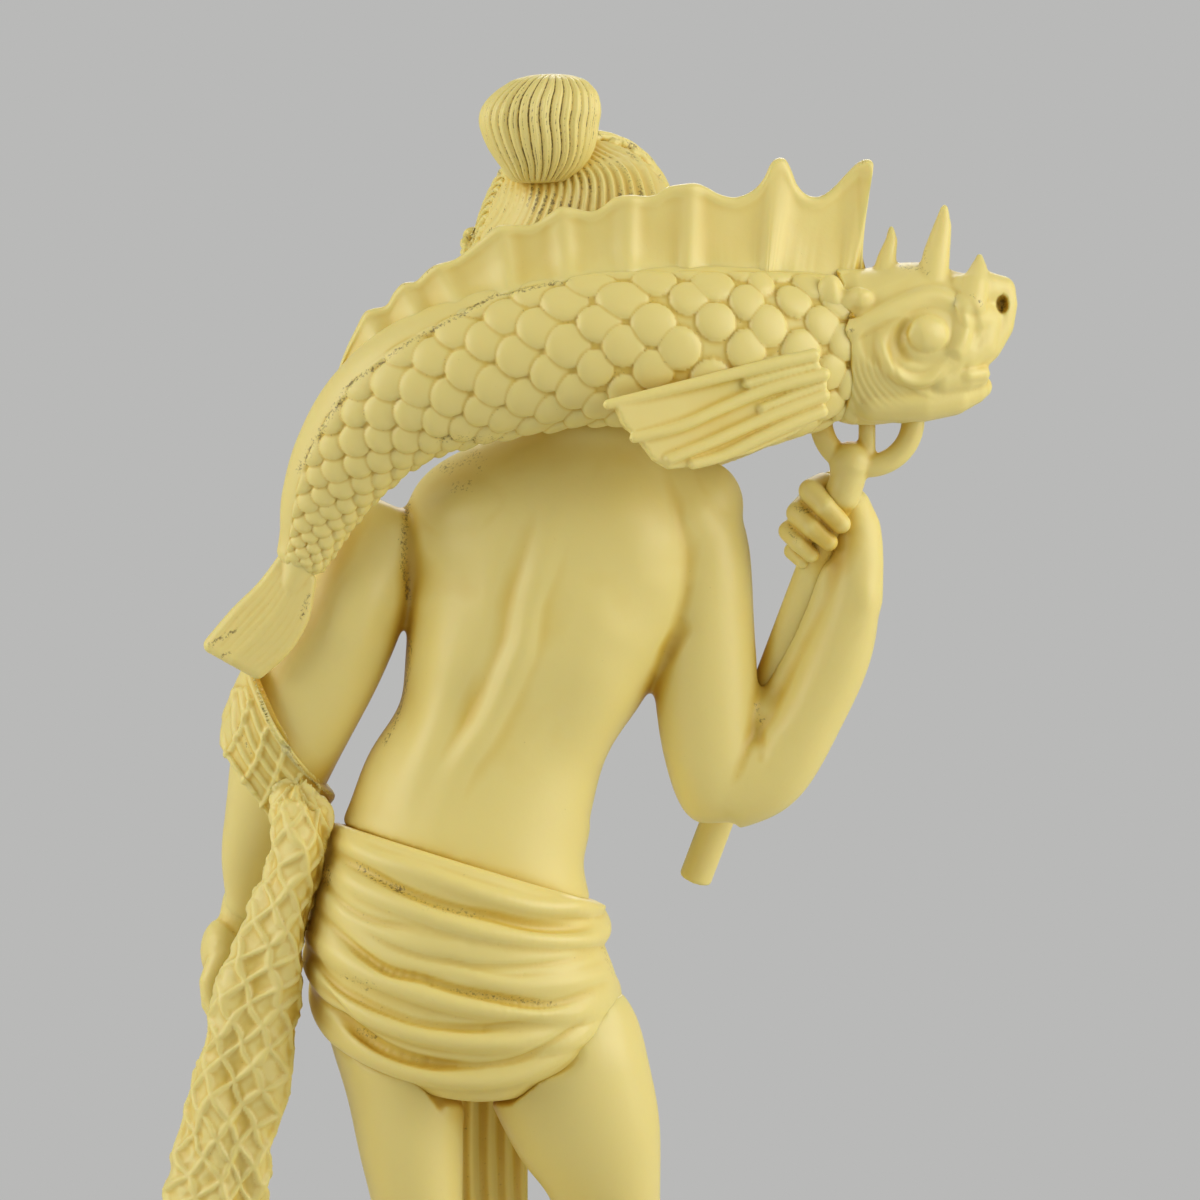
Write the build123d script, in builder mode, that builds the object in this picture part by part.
"""Carved figure of a fisherman who carries a horned fish across the shoulders.

Millimetres, +Z up. The origin is the middle of the underside of the rock base.
The figure faces +Y, so its back, which the photograph shows, looks along -Y.
A place is a column and a row of the photograph with a share of a depth.
"""
from build123d import *
import math
import os

os.makedirs("parts", exist_ok=True)

# Figure: height from sole to crown, and the rows it takes in the photograph
figure_height = 235.2
figure_rows = 1568
origin_column = 480
origin_row = 1790
row_size = figure_height / figure_rows

# Joints between glued pieces
joint_gap = 0.15
pin_radius = 1.5
pin_bore_gap = 0.05

# Rock base
base_width = 118.0
base_depth = 72.0
base_height = 13.5
step_width = 36.0
step_depth = 46.0
step_height = 11.5
step_forward_share = 0.10

# Legs and feet
left_thigh_width = 17.7
left_thigh_depth = 19.0
right_thigh_width = 21.0
right_thigh_depth = 20.0
foot_length = 35.0
foot_width = 13.5
foot_height = 11.5

# Loin wrap
wrap_width = 46.2
wrap_depth = 38.0
fold_height = 0.8
fold_reach = 2.4
fold_drop = 1.8
flap_width = 10.5
flap_length = 41.5
flap_thickness = 3.0
flap_forward_share = 0.30

# Trunk, head and hair
torso_width = 45.6
torso_depth = 31.0
head_width = 32.0
head_depth = 34.0
knot_width = 18.9
knot_depth = 17.0
knot_pin_forward_share = -0.12
nape_pin_forward_share = 0.10

# Arms and hands
left_arm_width = 17.4
left_arm_depth = 16.5
left_hand_width = 6.4
left_hand_depth = 12.5
upper_arm_width = 15.6
upper_arm_depth = 15.6
forearm_width = 11.5
forearm_depth = 11.5
right_hand_width = 13.4
right_hand_depth = 13.4

# Gaff
pole_radius = 2.5
pole_foot_forward = 12.5
pole_top_back = 8.0
fork_radius = 6.9
fork_prong_radius = 1.75
fork_stalk_length = 2.5
fork_tip_height = 2.6
fork_bar_radius = 1.3

# Fish
fish_height = 23.4
fish_thickness = 19.0
fish_head_height = 23.5
fish_head_thickness = 20.0
mouth_width = 30.0
eye_radius = 3.8
eye_bulge = 1.7
horn_width = 4.4
dorsal_thickness = 1.6
tail_thickness = 4.6
pectoral_thickness = 1.8
pectoral_lean = 18.0
pectoral_root_share = 0.54

# Fishing net
net_thickness = 1.9
net_band_width = 12.0
net_width = 14.4
net_depth = 10.0
net_strands = 8
net_mesh_length = 6.0


def spot(column, row, forward=0.0):
    """Return the point that a column and a row of the photograph show, so far forward."""
    across = (column - origin_column) * row_size
    up = (origin_row - row) * row_size
    return Vector(across, forward, up)


def stations(table, width, depth):
    """Return centre, width and depth of each row of a table of pixels and shares."""
    return [
        (spot(column, row, forward * depth), width * w, depth * d)
        for column, row, forward, w, d in table
    ]


def headings(centres):
    """Return the direction of the path at each centre."""
    ahead = centres[1:] + centres[-1:]
    behind = centres[:1] + centres[:-1]
    return [(b - a).normalized() for a, b in zip(behind, ahead)]


def ring(centre, heading, width, depth):
    """Return an oval face across a heading, its width level with the picture."""
    across = Vector(0, 1, 0).cross(heading)
    with BuildSketch(Plane(origin=centre, x_dir=across, z_dir=heading)) as face:
        Ellipse(width / 2, depth / 2)
    return face.sketch


def limb(rows, grow=0.0, upright=False, tilts=None, mode=Mode.ADD):
    """Loft ovals along a path, each side moved out by grow."""
    centres = [centre for centre, _, _ in rows]
    paths = headings(centres)
    if upright:
        paths = [Vector(0, 0, 1)] * len(rows)
    if tilts:
        paths = [path.rotate(Axis.Y, tilt) for path, tilt in zip(paths, tilts)]
    centres[0] = centres[0] - paths[0] * grow
    centres[-1] = centres[-1] + paths[-1] * grow
    faces = [
        ring(centre, path, width + 2 * grow, depth + 2 * grow)
        for centre, path, (_, width, depth) in zip(centres, paths, rows)
    ]
    loft(faces, mode=mode)


def rod(start, end, radius, mode=Mode.ADD):
    """Extrude a round bar from one point to another."""
    path = end - start
    with BuildSketch(Plane(origin=start, z_dir=path)) as section:
        Circle(radius)
    extrude(section.sketch, amount=path.length, mode=mode)


def finish(piece, name):
    """Label a finished piece and write it."""
    piece.part.label = name
    export_step(piece.part, f"parts/{name}.step")


# Tables: column, row, forward share of the depth, width share, depth share
torso_pixels_and_shares = (
    (456, 930, -0.03, 0.85, 0.92),
    (458, 880, -0.03, 0.84, 0.90),
    (464, 825, -0.03, 0.82, 0.87),
    (475, 790, -0.02, 0.80, 0.84),
    (490, 750, -0.01, 0.79, 0.84),
    (510, 720, 0.00, 0.79, 0.87),
    (527, 687, 0.00, 0.82, 0.92),
    (544, 640, 0.00, 0.91, 0.98),
    (556, 580, 0.00, 0.98, 1.00),
    (554, 520, 0.00, 0.99, 0.95),
    (557, 475, 0.00, 0.88, 0.80),
    (574, 442, -0.02, 0.62, 0.68),
    (582, 412, -0.03, 0.40, 0.56),
)
torso_rows = stations(torso_pixels_and_shares, torso_width, torso_depth)

wrap_pixels_and_shares = (
    (476, 1103, -0.20, 0.20, 0.12),
    (474, 1085, -0.13, 0.46, 0.46),
    (472, 1055, -0.08, 0.74, 0.74),
    (468, 1020, -0.04, 0.93, 0.93),
    (463, 985, -0.04, 1.00, 0.99),
    (459, 950, -0.04, 1.00, 1.00),
    (458, 915, -0.04, 0.95, 0.97),
    (464, 864, -0.03, 0.89, 0.91),
)
wrap_tilts = (0, 0, 0, 0, 3, 7, 11, 17)
wrap_rows = stations(wrap_pixels_and_shares, wrap_width, wrap_depth)

# Folds of the wrap: the rows that each one passes at the left, at the back and at the right
fold_pixels = (
    (836, 890, 905),
    (862, 926, 932),
    (888, 952, 965),
    (926, 1003, 998),
    (954, 1040, 1008),
    (992, 1080, 1004),
)

head_pixels_and_shares = (
    (582, 411, 0.03, 0.56, 0.50),
    (581, 385, 0.08, 0.53, 0.50),
    (580, 366, 0.20, 0.62, 0.66),
    (580, 345, 0.14, 0.78, 0.86),
    (580, 310, 0.12, 0.93, 0.96),
    (580, 265, 0.11, 1.00, 1.00),
    (580, 220, 0.10, 0.93, 0.96),
    (580, 185, 0.09, 0.80, 0.84),
    (580, 158, 0.08, 0.63, 0.68),
    (580, 141, 0.07, 0.42, 0.46),
    (580, 133, 0.07, 0.20, 0.22),
)
head_rows = stations(head_pixels_and_shares, head_width, head_depth)

knot_pixels_and_shares = (
    (534, 182, -0.56, 0.46, 0.46),
    (538, 166, -0.56, 0.60, 0.60),
    (540, 148, -0.54, 0.84, 0.84),
    (538, 128, -0.53, 0.98, 0.98),
    (540, 108, -0.51, 0.98, 0.98),
    (545, 92, -0.50, 0.84, 0.86),
    (549, 80, -0.50, 0.58, 0.60),
    (551, 75, -0.50, 0.32, 0.34),
)
knot_rows = stations(knot_pixels_and_shares, knot_width, knot_depth)

left_leg_pixels_and_shares = (
    (404, 985, -0.10, 0.80, 0.80),
    (402, 1015, -0.10, 1.28, 1.12),
    (408, 1050, -0.08, 1.28, 1.16),
    (407, 1100, -0.06, 1.02, 1.02),
    (411, 1155, -0.03, 0.88, 0.94),
    (416, 1200, 0.00, 0.78, 0.86),
    (420, 1260, 0.06, 0.72, 0.78),
    (423, 1325, 0.12, 0.68, 0.72),
    (424, 1370, 0.10, 0.65, 0.68),
    (424, 1440, 0.00, 0.75, 0.77),
    (427, 1520, -0.05, 0.64, 0.66),
    (432, 1595, -0.04, 0.46, 0.48),
    (436, 1645, 0.00, 0.42, 0.46),
    (438, 1668, 0.02, 0.44, 0.50),
)
left_leg_rows = stations(left_leg_pixels_and_shares, left_thigh_width, left_thigh_depth)

right_leg_pixels_and_shares = (
    (550, 990, -0.04, 0.60, 0.60),
    (555, 1015, -0.04, 0.92, 0.90),
    (562, 1060, -0.02, 1.18, 1.10),
    (576, 1100, 0.04, 1.14, 1.04),
    (592, 1145, 0.12, 1.02, 0.94),
    (603, 1180, 0.22, 0.85, 0.84),
    (609, 1215, 0.36, 0.75, 0.76),
    (618, 1262, 0.60, 0.66, 0.72),
    (624, 1302, 0.72, 0.60, 0.68),
    (628, 1352, 0.62, 0.58, 0.64),
    (630, 1412, 0.46, 0.62, 0.66),
    (630, 1485, 0.34, 0.48, 0.52),
    (630, 1548, 0.28, 0.36, 0.42),
    (630, 1590, 0.30, 0.38, 0.46),
)
right_leg_rows = stations(right_leg_pixels_and_shares, right_thigh_width, right_thigh_depth)

left_arm_pixels_and_shares = (
    (392, 505, 0.00, 0.40, 0.44),
    (384, 522, 0.00, 0.74, 0.80),
    (368, 560, -0.02, 0.90, 0.94),
    (348, 615, -0.05, 0.95, 1.00),
    (318, 675, -0.05, 1.00, 1.00),
    (290, 730, 0.00, 0.98, 0.96),
    (274, 780, 0.16, 0.84, 0.82),
    (258, 830, 0.40, 0.66, 0.64),
    (244, 880, 0.66, 0.46, 0.46),
    (236, 916, 0.82, 0.36, 0.38),
)
left_arm_rows = stations(left_arm_pixels_and_shares, left_arm_width, left_arm_depth)

left_hand_pixels_and_shares = (
    (234, 912, 1.09, 0.80, 0.46),
    (222, 935, 1.12, 0.98, 0.78),
    (212, 962, 1.14, 1.00, 1.00),
    (208, 990, 1.12, 0.86, 0.92),
    (207, 1012, 1.10, 0.66, 0.66),
    (208, 1023, 1.09, 0.30, 0.36),
)
left_hand_rows = stations(left_hand_pixels_and_shares, left_hand_width, left_hand_depth)

upper_arm_pixels_and_shares = (
    (676, 486, 0.00, 0.44, 0.48),
    (688, 504, 0.00, 0.80, 0.84),
    (698, 540, 0.00, 0.96, 1.00),
    (703, 600, 0.00, 0.98, 1.00),
    (706, 670, 0.00, 1.00, 1.00),
    (709, 730, 0.00, 0.96, 0.94),
    (713, 775, 0.00, 0.84, 0.84),
    (716, 808, 0.00, 0.64, 0.64),
    (717, 824, 0.00, 0.30, 0.32),
)
upper_arm_rows = stations(upper_arm_pixels_and_shares, upper_arm_width, upper_arm_depth)

forearm_pixels_and_shares = (
    (724, 802, 0.00, 0.86, 0.90),
    (752, 786, -0.02, 1.02, 1.02),
    (786, 754, -0.08, 1.00, 1.02),
    (808, 720, -0.14, 0.90, 0.98),
    (829, 677, -0.22, 0.90, 0.92),
    (845, 635, -0.32, 0.84, 0.84),
    (855, 590, -0.42, 0.66, 0.68),
    (857, 560, -0.46, 0.60, 0.62),
)
forearm_rows = stations(forearm_pixels_and_shares, forearm_width, forearm_depth)

right_hand_pixels_and_shares = (
    (850, 576, -0.44, 0.52, 0.50),
    (838, 552, -0.44, 0.92, 0.92),
    (829, 525, -0.48, 1.00, 1.00),
    (834, 500, -0.54, 0.74, 0.84),
    (842, 483, -0.60, 0.46, 0.54),
)
right_hand_rows = stations(right_hand_pixels_and_shares, right_hand_width, right_hand_depth)

fish_pixels_and_shares = (
    (295, 572, -0.60, 0.28, 0.24),
    (309, 540, -0.62, 0.39, 0.34),
    (322, 503, -0.68, 0.53, 0.46),
    (345, 460, -0.78, 0.67, 0.60),
    (380, 418, -0.88, 0.80, 0.74),
    (430, 385, -0.97, 0.90, 0.86),
    (515, 360, -1.03, 0.97, 0.94),
    (600, 347, -1.03, 1.00, 1.00),
    (680, 352, -0.96, 1.10, 1.02),
    (750, 356, -0.84, 1.15, 1.00),
    (800, 350, -0.72, 1.05, 0.96),
    (852, 344, -0.60, 0.94, 0.92),
)
fish_rows = stations(fish_pixels_and_shares, fish_height, fish_thickness)

fish_head_pixels_and_shares = (
    (818, 344, -0.66, 0.96, 0.88),
    (842, 345, -0.60, 0.98, 0.94),
    (868, 347, -0.56, 1.00, 1.00),
    (900, 342, -0.54, 1.00, 0.98),
    (935, 339, -0.52, 0.96, 0.88),
    (965, 338, -0.50, 0.88, 0.74),
    (990, 328, -0.48, 0.78, 0.56),
    (1006, 318, -0.47, 0.60, 0.40),
    (1018, 306, -0.46, 0.24, 0.20),
)
fish_head_rows = stations(fish_head_pixels_and_shares, fish_head_height, fish_head_thickness)

# Outlines in the picture plane, as columns and rows of the photograph
dorsal_outline_pixels = (
    (350, 420), (338, 395), (344, 360), (370, 312), (388, 306), (405, 284), (428, 284),
    (442, 264), (474, 252), (499, 226), (530, 232), (560, 209), (596, 216), (624, 193),
    (656, 200), (686, 184), (728, 198), (752, 190), (781, 158), (806, 200), (832, 192),
    (868, 160), (862, 216), (872, 286), (840, 330), (600, 340), (430, 380),
)
tail_outline_pixels = (
    (322, 548), (281, 552), (268, 576), (241, 600), (212, 627), (201, 652), (205, 670),
    (222, 683), (244, 682), (262, 674), (277, 652), (295, 629), (306, 604), (334, 566),
)
pectoral_outline_pixels = (
    (812, 350), (760, 362), (690, 382), (603, 405), (612, 426), (630, 444), (644, 462),
    (660, 471), (700, 466), (744, 455), (790, 436), (822, 414), (824, 394), (820, 372),
)
mouth_outline_pixels = ((978, 366), (1030, 330), (1030, 376), (990, 374))


wrap_top_heading = Vector(0, 0, 1).rotate(Axis.Y, wrap_tilts[-1])
wrap_top_plane = Plane(origin=wrap_rows[-1][0], z_dir=wrap_top_heading)
gill_heading = headings([fish_rows[-2][0], fish_head_rows[2][0]])[0]
gill_plane = Plane(origin=spot(834, 345, fish_head_rows[1][0].Y), z_dir=gill_heading)


def wrap_point(row, sideways, forward):
    """Return a point of the wrap's oval at a row, as shares of its half width and half depth."""
    height = spot(origin_column, row).Z
    for start, end in zip(wrap_rows, wrap_rows[1:]):
        if height <= end[0].Z or end is wrap_rows[-1]:
            share = (height - start[0].Z) / (end[0].Z - start[0].Z)
            centre, width, depth = (a + (b - a) * share for a, b in zip(start, end))
            return centre + Vector(sideways * width / 2, forward * depth / 2, 0)


def wrap_mass(grow=0.0):
    """Return the wrap with its sagging folds laid on it, each side moved out by grow."""
    with BuildPart() as hips:
        limb(wrap_rows, grow=grow, upright=True, tilts=wrap_tilts)
    mass = hips.part
    for left_row, back_row, right_row in fold_pixels:
        left, right = wrap_point(left_row, -1, 0), wrap_point(right_row, 1, 0)
        back, front = wrap_point(back_row, 0, -1), wrap_point(left_row + right_row - back_row, 0, 1)
        centre = (left + right + back + front) / 4
        across, deep = right - left, front - back
        heading = across.cross(deep).normalized()
        rims = []
        for rise, drop in ((-fold_reach, fold_drop), (0, 0), (fold_reach, fold_drop)):
            with BuildSketch(Plane(origin=centre + heading * rise, x_dir=across, z_dir=heading)) as rim:
                Ellipse(
                    across.length / 2 + fold_height + grow - drop,
                    deep.length / 2 + fold_height + grow - drop,
                )
            rims.append(rim.sketch)
        mass += loft(rims)
    return mass


wrap_solid = wrap_mass()
wrap_clearance = wrap_mass(grow=joint_gap)


def picture_face(outline, forward):
    """Return the face inside an outline of the photograph, so far forward."""
    with BuildSketch(Plane.XZ.offset(-forward)) as face:
        with BuildLine():
            Polyline([(p.X, p.Z) for p in (spot(*pixel) for pixel in outline)], close=True)
        make_face()
    return face.sketch


def fish_head_mass(grow=0.0, mode=Mode.ADD):
    """Loft the fish's head from the gills to the nose."""
    limb(fish_head_rows, grow=grow, mode=mode)


# Rock base with a raised stone for the right foot
base_ring_shares = ((0.00, 0.96), (0.30, 1.00), (0.75, 0.98), (1.00, 0.93))
step_ring_shares = ((-0.60, 1.12), (0.30, 1.00), (0.80, 0.94), (1.00, 0.84))
base_outline_shares = (
    (1.00, 0.06), (0.86, 0.62), (0.46, 0.90), (0.02, 1.00), (-0.44, 0.88), (-0.84, 0.66),
    (-1.00, 0.04), (-0.90, -0.56), (-0.50, -0.90), (0.04, -0.98), (0.50, -0.92), (0.90, -0.52),
)
step_centre = spot(636, origin_row, step_forward_share * base_depth)


def rock(plane, width, depth, height, ring_shares):
    """Loft an uneven oval of stone up from a plane."""
    faces = []
    for height_share, size_share in ring_shares:
        corners = [
            (across * width / 2 * size_share, along * depth / 2 * size_share)
            for across, along in base_outline_shares
        ]
        with BuildSketch(plane.offset(height * height_share)) as face:
            with BuildLine():
                Spline(*corners, periodic=True)
            make_face()
        faces.append(face.sketch)
    loft(faces)


with BuildPart() as rock_base:
    rock(Plane.XY, base_width, base_depth, base_height, base_ring_shares)
    step_plane = Plane(step_centre).offset(base_height)
    rock(step_plane, step_width, step_depth, step_height, step_ring_shares)

# Soles stand on the rock and on its raised stone
left_sole = Vector(left_leg_rows[-1][0].X, 0, base_height + joint_gap)
right_sole = Vector(right_leg_rows[-1][0].X, 0, base_height + step_height + joint_gap)
foot_shares = (
    (-0.30, 0.30, 0.40, 0.60),
    (-0.24, 0.36, 0.62, 0.72),
    (-0.05, 0.44, 0.74, 0.88),
    (0.20, 0.40, 0.88, 0.80),
    (0.45, 0.28, 1.00, 0.56),
    (0.64, 0.20, 0.86, 0.40),
    (0.70, 0.18, 0.50, 0.30),
)


def foot(sole, heel):
    """Loft a foot from heel to toes and cut it flat at its sole."""
    rows = []
    for along, up, w, h in foot_shares:
        centre = sole + Vector(0, heel + foot_length * along, foot_height * up)
        rows.append((centre, foot_width * w, foot_height * h))
    loft([foot_ring(*row) for row in rows])
    split(bisect_by=Plane.XY.offset(sole.Z), keep=Keep.TOP)


def foot_ring(centre, width, height):
    """Return an upright oval across the foot."""
    with BuildSketch(Plane(origin=centre, x_dir=(1, 0, 0), z_dir=(0, 1, 0))) as face:
        Ellipse(width / 2, height / 2)
    return face.sketch


pin_depth_share = 0.62
left_pin_start = left_sole - Vector(0, 0, base_height * pin_depth_share)
left_pin_end = left_sole + Vector(0, 0, foot_height)
right_pin_start = right_sole - Vector(0, 0, base_height * pin_depth_share)
right_pin_end = right_sole + Vector(0, 0, foot_height)
right_heel = right_leg_rows[-1][0].Y
left_heel = left_leg_rows[-1][0].Y
left_pin_start += Vector(0, left_heel, 0)
left_pin_end += Vector(0, left_heel, 0)
right_pin_start += Vector(0, right_heel, 0)
right_pin_end += Vector(0, right_heel, 0)

neck_top = head_rows[1][0]
neck_foot = torso_rows[-2][0]
waist_top = torso_rows[3][0]
waist_foot = wrap_rows[4][0]
knot_pin_top = knot_rows[3][0]
knot_pin_foot = spot(556, 206, knot_pin_forward_share * head_depth)
left_shoulder_in = spot(440, 548)
left_shoulder_out = left_arm_rows[2][0]
right_shoulder_in = spot(652, 540)
right_shoulder_out = upper_arm_rows[2][0]
fish_pin_back = fish_rows[7][0]
fish_pin_front = spot(600, 348, nape_pin_forward_share * head_depth)
gill_pin_start = fish_rows[-2][0]
gill_pin_end = fish_head_rows[2][0]

pins = {
    "left_foot_pin": (left_pin_start, left_pin_end),
    "right_foot_pin": (right_pin_start, right_pin_end),
    "waist_pin": (waist_foot, waist_top),
    "neck_pin": (neck_foot, neck_top),
    "topknot_pin": (knot_pin_foot, knot_pin_top),
    "left_shoulder_pin": (left_shoulder_in, left_shoulder_out),
    "right_shoulder_pin": (right_shoulder_in, right_shoulder_out),
    "fish_nape_pin": (fish_pin_front, fish_pin_back),
    "fish_gill_pin": (gill_pin_start, gill_pin_end),
}


def bore(name):
    """Cut the bore of a pin, a little longer and wider than the pin."""
    start, end = pins[name]
    slack = (end - start).normalized() * pin_bore_gap
    rod(start - slack, end + slack, pin_radius + pin_bore_gap, mode=Mode.SUBTRACT)


with rock_base:
    bore("left_foot_pin")
    bore("right_foot_pin")

# Legs hang from the wrap and stand on the rock
with BuildPart() as left_leg:
    limb(left_leg_rows)
    split(bisect_by=Plane.XY.offset(left_sole.Z), keep=Keep.TOP)
    foot(left_sole, left_heel)
    add(wrap_clearance, mode=Mode.SUBTRACT)
    bore("left_foot_pin")

with BuildPart() as right_leg:
    limb(right_leg_rows)
    split(bisect_by=Plane.XY.offset(right_sole.Z), keep=Keep.TOP)
    foot(right_sole, right_heel)
    add(wrap_clearance, mode=Mode.SUBTRACT)
    limb(left_leg_rows, grow=joint_gap, mode=Mode.SUBTRACT)
    bore("right_foot_pin")

# Loin wrap, the mass of the hips
with BuildPart() as loin_wrap:
    add(wrap_solid)
    split(bisect_by=wrap_top_plane, keep=Keep.BOTTOM)
    bore("waist_pin")

# End of the wrap that hangs in front between the thighs
flap_top = spot(492, 1000, flap_forward_share * wrap_depth)
with BuildPart() as wrap_flap:
    with BuildSketch(Plane(origin=flap_top, x_dir=(1, 0, 0), z_dir=(0, 1, 0))):
        Rectangle(flap_width, flap_length, align=(Align.CENTER, Align.MIN))
    extrude(amount=flap_thickness)
    add(wrap_clearance, mode=Mode.SUBTRACT)
    limb(left_leg_rows, grow=joint_gap, mode=Mode.SUBTRACT)
    limb(right_leg_rows, grow=joint_gap, mode=Mode.SUBTRACT)

# Trunk from the wrap to the root of the neck
with BuildPart() as torso:
    limb(torso_rows, upright=True)
    split(bisect_by=wrap_top_plane.offset(joint_gap), keep=Keep.TOP)
    for pin_name in ("waist_pin", "neck_pin", "left_shoulder_pin", "right_shoulder_pin"):
        bore(pin_name)

with BuildPart() as head:
    limb(head_rows, upright=True)
    for pin_name in ("neck_pin", "topknot_pin", "fish_nape_pin"):
        bore(pin_name)

with BuildPart() as topknot:
    limb(knot_rows, upright=True)
    limb(head_rows, grow=joint_gap, upright=True, mode=Mode.SUBTRACT)
    bore("topknot_pin")

# Left arm hangs, its hand behind the net
with BuildPart() as left_arm:
    limb(left_arm_rows)
    limb(torso_rows, grow=joint_gap, upright=True, mode=Mode.SUBTRACT)
    bore("left_shoulder_pin")

with BuildPart() as left_hand:
    limb(left_hand_rows)
    limb(left_arm_rows, grow=joint_gap, mode=Mode.SUBTRACT)

# Gaff, straight from below the elbow up through the fist to the fork
pole_foot = spot(696, 882, pole_foot_forward)
pole_top = spot(847, 478, -pole_top_back)
fork_centre = spot(867, 420, pole_top.Y)
fork_foot = fork_centre - Vector(0, 0, fork_radius)


def pole(grow=0.0, mode=Mode.ADD):
    """Extrude the straight pole."""
    slack = (pole_top - pole_foot).normalized() * grow
    rod(pole_foot - slack, pole_top + slack, pole_radius + grow, mode=mode)


with BuildPart() as gaff_pole:
    pole()


def fork_tip(side, grow=0.0, mode=Mode.ADD):
    """Extrude one tip of the fork up into the fish's throat."""
    radius = fork_bar_radius if side == 0 else fork_prong_radius
    root = fork_centre + Vector(side * fork_radius, 0, 0)
    if side == 0:
        root = fork_foot
    end = Vector(root.X, root.Y, fork_centre.Z + fork_tip_height + grow)
    rod(root, end, radius + grow, mode=mode)


# Fork, a half ring with a middle bar on a short stalk, its tips set in the fish
with BuildPart() as gaff_fork:
    prong_start = fork_centre + Vector(fork_radius, 0, 0)
    with BuildSketch(Plane(origin=prong_start, x_dir=(1, 0, 0), z_dir=(0, 0, 1))) as prong_end:
        Circle(fork_prong_radius)
    revolve(prong_end.sketch, axis=Axis(fork_centre, (0, 1, 0)), revolution_arc=180)
    for fork_side in (-1, 0, 1):
        fork_tip(fork_side)
    pole_path = (pole_top - pole_foot).normalized()
    stalk_start = pole_top + pole_path * joint_gap
    rod(stalk_start, stalk_start + pole_path * fork_stalk_length, pole_radius)

# Right arm is bent up to the gaff, its fist closed round the pole
with BuildPart() as right_upper_arm:
    limb(upper_arm_rows)
    limb(torso_rows, grow=joint_gap, upright=True, mode=Mode.SUBTRACT)
    pole(grow=joint_gap, mode=Mode.SUBTRACT)
    bore("right_shoulder_pin")

with BuildPart() as right_forearm:
    limb(forearm_rows)
    limb(upper_arm_rows, grow=joint_gap, mode=Mode.SUBTRACT)
    pole(grow=joint_gap, mode=Mode.SUBTRACT)

with BuildPart() as right_hand:
    limb(right_hand_rows)
    limb(forearm_rows, grow=joint_gap, mode=Mode.SUBTRACT)
    pole(grow=joint_gap, mode=Mode.SUBTRACT)

# Fish across the nape, its head on the right and its tail on the left
with BuildPart() as fish_body:
    limb(fish_rows)
    split(bisect_by=gill_plane, keep=Keep.BOTTOM)
    limb(head_rows, grow=joint_gap, upright=True, mode=Mode.SUBTRACT)
    limb(torso_rows, grow=joint_gap, upright=True, mode=Mode.SUBTRACT)
    for fork_side in (-1, 0, 1):
        fork_tip(fork_side, grow=joint_gap, mode=Mode.SUBTRACT)
    bore("fish_nape_pin")
    bore("fish_gill_pin")

eye_depth = fish_head_thickness / 2 - eye_radius + eye_bulge
eye_centre = fish_head_rows[3][0] + spot(922, 341) - spot(935, 339)
eye_sides = {"near_fish_eye": -1, "far_fish_eye": 1}


def eye_ball(side, grow=0.0, mode=Mode.ADD):
    """Place the ball of one eye in its socket."""
    with Locations(eye_centre + Vector(0, side * eye_depth, 0)):
        Sphere(eye_radius + grow, mode=mode)


with BuildPart() as fish_head:
    fish_head_mass()
    split(bisect_by=gill_plane.offset(joint_gap), keep=Keep.TOP)
    mouth = picture_face(mouth_outline_pixels, eye_centre.Y)
    extrude(mouth, amount=mouth_width / 2, both=True, mode=Mode.SUBTRACT)
    for side in eye_sides.values():
        eye_ball(side, grow=joint_gap, mode=Mode.SUBTRACT)
    for fork_side in (-1, 0, 1):
        fork_tip(fork_side, grow=joint_gap, mode=Mode.SUBTRACT)
    bore("fish_gill_pin")

eyes = {}
for name, side in eye_sides.items():
    with BuildPart() as eye:
        eye_ball(side)
    eyes[name] = eye

# Spines on the brow, rear, middle and front
horn_pixels = {
    "rear_horn": ((883, 292), (885, 262), (891, 226)),
    "middle_horn": ((934, 292), (938, 256), (945, 203)),
    "front_horn": ((967, 300), (972, 274), (978, 251)),
}
horn_size_shares = {"rear_horn": 0.8, "middle_horn": 1.0, "front_horn": 0.75}
horn_taper_shares = (1.0, 0.78, 0.24)
horn_forward = fish_head_rows[3][0].Y

horns = {}
for name, path in horn_pixels.items():
    horn_base = horn_width * horn_size_shares[name]
    horn_rows = [
        (spot(column, row, horn_forward), horn_base * taper, horn_base * taper)
        for (column, row), taper in zip(path, horn_taper_shares)
    ]
    with BuildPart() as horn:
        limb(horn_rows)
        fish_head_mass(grow=joint_gap, mode=Mode.SUBTRACT)
    horns[name] = horn

# Back fin follows the bend of the fish
fin_line = [centre for centre, _, _ in fish_rows]
fin_line[0] = spot(340, 430, fish_rows[4][0].Y)
fin_points = [fin_line[0]] + fin_line[5:] + [spot(880, 340, fish_head_rows[0][0].Y)]
fin_back = [(p.X, p.Y - dorsal_thickness / 2) for p in fin_points]
fin_front = [(p.X, p.Y + dorsal_thickness / 2) for p in fin_points]
with BuildPart() as dorsal_fin:
    with BuildSketch(Plane.XY.offset(fish_rows[0][0].Z)) as fin_plan:
        with BuildLine():
            back_line = Spline(*fin_back)
            front_line = Spline(*fin_front)
            Line(back_line @ 0, front_line @ 0)
            Line(back_line @ 1, front_line @ 1)
        make_face()
    extrude(fin_plan.sketch, amount=figure_height)
    fin_side = picture_face(dorsal_outline_pixels, 0)
    extrude(fin_side, amount=base_depth, both=True, mode=Mode.INTERSECT)
    limb(fish_rows, grow=joint_gap, mode=Mode.SUBTRACT)
    fish_head_mass(grow=joint_gap, mode=Mode.SUBTRACT)
    limb(head_rows, grow=joint_gap, upright=True, mode=Mode.SUBTRACT)

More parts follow.
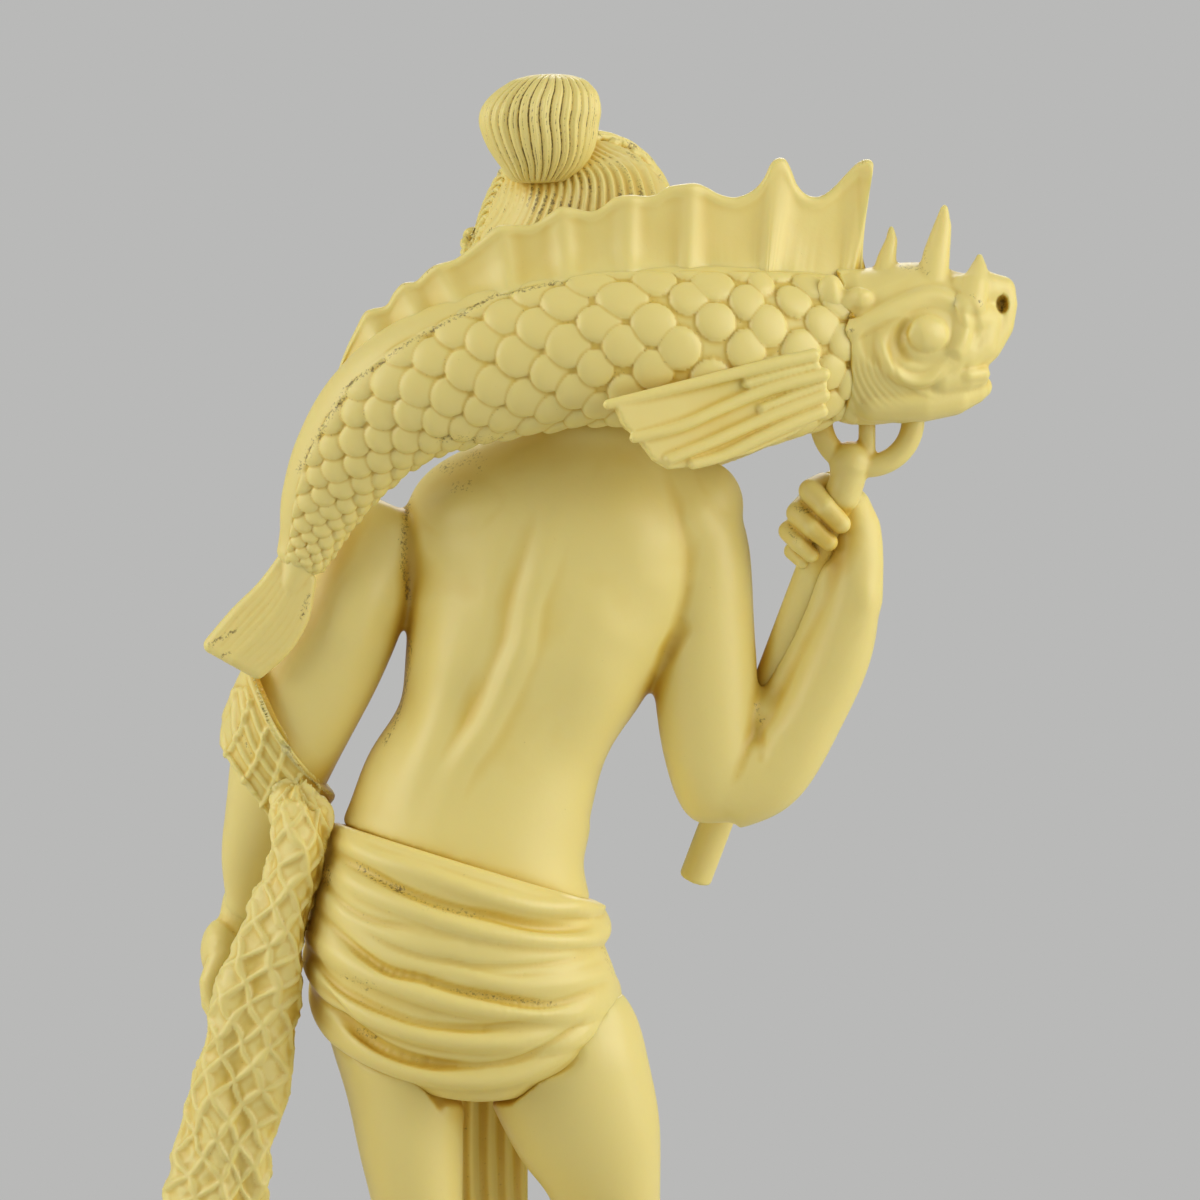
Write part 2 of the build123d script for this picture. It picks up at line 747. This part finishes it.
# Tail fin rests against the left arm
tail_forward = fish_rows[0][0].Y
with BuildPart() as tail_fin:
    extrude(picture_face(tail_outline_pixels, tail_forward), amount=tail_thickness / 2, both=True)
    limb(fish_rows, grow=joint_gap, mode=Mode.SUBTRACT)
    limb(left_arm_rows, grow=joint_gap, mode=Mode.SUBTRACT)

# Breast fins, one on each side, lean out from the gills
pectoral_sides = {"near_pectoral_fin": -1, "far_pectoral_fin": 1}
pectoral_root = spot(812, 384, fish_rows[-1][0].Y)
pectorals = {}
for name, side in pectoral_sides.items():
    fin_forward = pectoral_root.Y + side * fish_thickness * pectoral_root_share
    with BuildPart() as pectoral:
        fin_face = picture_face(pectoral_outline_pixels, fin_forward)
        hinge = Axis((pectoral_root.X, fin_forward, pectoral_root.Z), (0, 0, 1))
        fin_face = fin_face.rotate(hinge, -side * pectoral_lean)
        extrude(fin_face, amount=pectoral_thickness / 2, both=True)
        limb(fish_rows, grow=joint_gap, mode=Mode.SUBTRACT)
        fish_head_mass(grow=joint_gap, mode=Mode.SUBTRACT)
        limb(torso_rows, grow=joint_gap, upright=True, mode=Mode.SUBTRACT)
        limb(head_rows, grow=joint_gap, upright=True, mode=Mode.SUBTRACT)
        limb(upper_arm_rows, grow=joint_gap, mode=Mode.SUBTRACT)
    pectorals[name] = pectoral

# Net, a band over the left arm and a fall from it to the rock
net_band_centre = spot(268, 748, 0)
net_band_heading = spot(823, -568) - spot(0, 0)
band_plane = Plane(origin=net_band_centre, x_dir=(0, 1, 0), z_dir=net_band_heading)

net_pixels_and_shares = (
    (302, 806, -0.80, 0.50, 0.60),
    (298, 840, -0.86, 0.62, 0.70),
    (291, 880, -0.86, 0.52, 0.74),
    (278, 925, -0.84, 0.62, 0.84),
    (266, 964, -0.80, 0.78, 0.92),
    (257, 1007, -0.74, 0.92, 1.00),
    (248, 1059, -0.70, 0.99, 1.00),
    (230, 1120, -0.66, 1.00, 1.00),
    (216, 1190, -0.62, 0.98, 1.00),
    (200, 1320, -0.56, 0.96, 1.00),
    (190, 1460, -0.48, 1.02, 1.04),
    (184, 1580, -0.42, 1.16, 1.14),
    (182, 1660, -0.38, 1.38, 1.30),
    (182, 1702, -0.36, 1.60, 1.46),
)
net_rows = stations(net_pixels_and_shares, net_width, net_depth)

with BuildPart() as net_drape:
    with BuildSketch(band_plane):
        Rectangle(base_width, base_width)
    extrude(amount=net_band_width / 2, both=True)
    limb(left_arm_rows, grow=net_thickness, mode=Mode.INTERSECT)
    limb(left_arm_rows, grow=joint_gap, mode=Mode.SUBTRACT)
    limb(torso_rows, grow=joint_gap, upright=True, mode=Mode.SUBTRACT)
    add(wrap_clearance, mode=Mode.SUBTRACT)
    add(tail_fin.part, mode=Mode.SUBTRACT)


def section(rows, share):
    """Return centre, width and depth at a share of a path's length."""
    lengths = [(b[0] - a[0]).length for a, b in zip(rows, rows[1:])]
    wanted = share * sum(lengths)
    for start, end, length in zip(rows, rows[1:], lengths):
        if wanted <= length or end is rows[-1]:
            return [a + (b - a) * wanted / length for a, b in zip(start, end)]
        wanted -= length


def net_mass(rows):
    """Return a solid whose facets are the meshes of a net, knots half a mesh apart from ring to ring."""
    path_length = sum((b[0] - a[0]).length for a, b in zip(rows, rows[1:]))
    steps = round(2 * path_length / net_mesh_length)
    sections = [section(rows, step / steps) for step in range(steps + 1)]
    paths = headings([centre for centre, _, _ in sections])
    knots = []
    for step, (path, (centre, width, depth)) in enumerate(zip(paths, sections)):
        across = Vector(0, 1, 0).cross(path).normalized()
        deep = path.cross(across)
        turns = [2 * math.pi * (k + step % 2 / 2) / net_strands for k in range(net_strands)]
        knots.append([
            centre + across * (width / 2 * math.cos(turn)) + deep * (depth / 2 * math.sin(turn))
            for turn in turns
        ])
    corners = [knots[0], knots[-1]]
    for step, (near, far) in enumerate(zip(knots, knots[1:])):
        for k in range(net_strands):
            after = (k + 1) % net_strands
            if step % 2:
                corners += [(far[k], far[after], near[k]), (near[k], far[after], near[after])]
            else:
                corners += [(near[k], near[after], far[k]), (far[k], near[after], far[after])]
    return Solid(Shell([Face(Wire.make_polygon(facet)) for facet in corners]))


with BuildPart() as net_fall:
    add(net_mass(net_rows))
    split(bisect_by=Plane.XY.offset(base_height + joint_gap), keep=Keep.TOP)
    add(wrap_clearance, mode=Mode.SUBTRACT)
    limb(left_arm_rows, grow=joint_gap, mode=Mode.SUBTRACT)
    limb(left_hand_rows, grow=joint_gap, mode=Mode.SUBTRACT)
    add(net_drape.part, mode=Mode.SUBTRACT)

for piece_name, piece in (
    ("rock_base", rock_base),
    ("left_leg", left_leg),
    ("right_leg", right_leg),
    ("loin_wrap", loin_wrap),
    ("wrap_flap", wrap_flap),
    ("torso", torso),
    ("head", head),
    ("topknot", topknot),
    ("left_arm", left_arm),
    ("left_hand", left_hand),
    ("right_upper_arm", right_upper_arm),
    ("right_forearm", right_forearm),
    ("right_hand", right_hand),
    ("gaff_pole", gaff_pole),
    ("gaff_fork", gaff_fork),
    ("fish_body", fish_body),
    ("fish_head", fish_head),
    ("dorsal_fin", dorsal_fin),
    ("tail_fin", tail_fin),
    ("net_drape", net_drape),
    ("net_fall", net_fall),
    *eyes.items(),
    *horns.items(),
    *pectorals.items(),
):
    finish(piece, piece_name)

for pin_name, (start, end) in pins.items():
    with BuildPart() as pin:
        rod(start, end, pin_radius)
    finish(pin, pin_name)
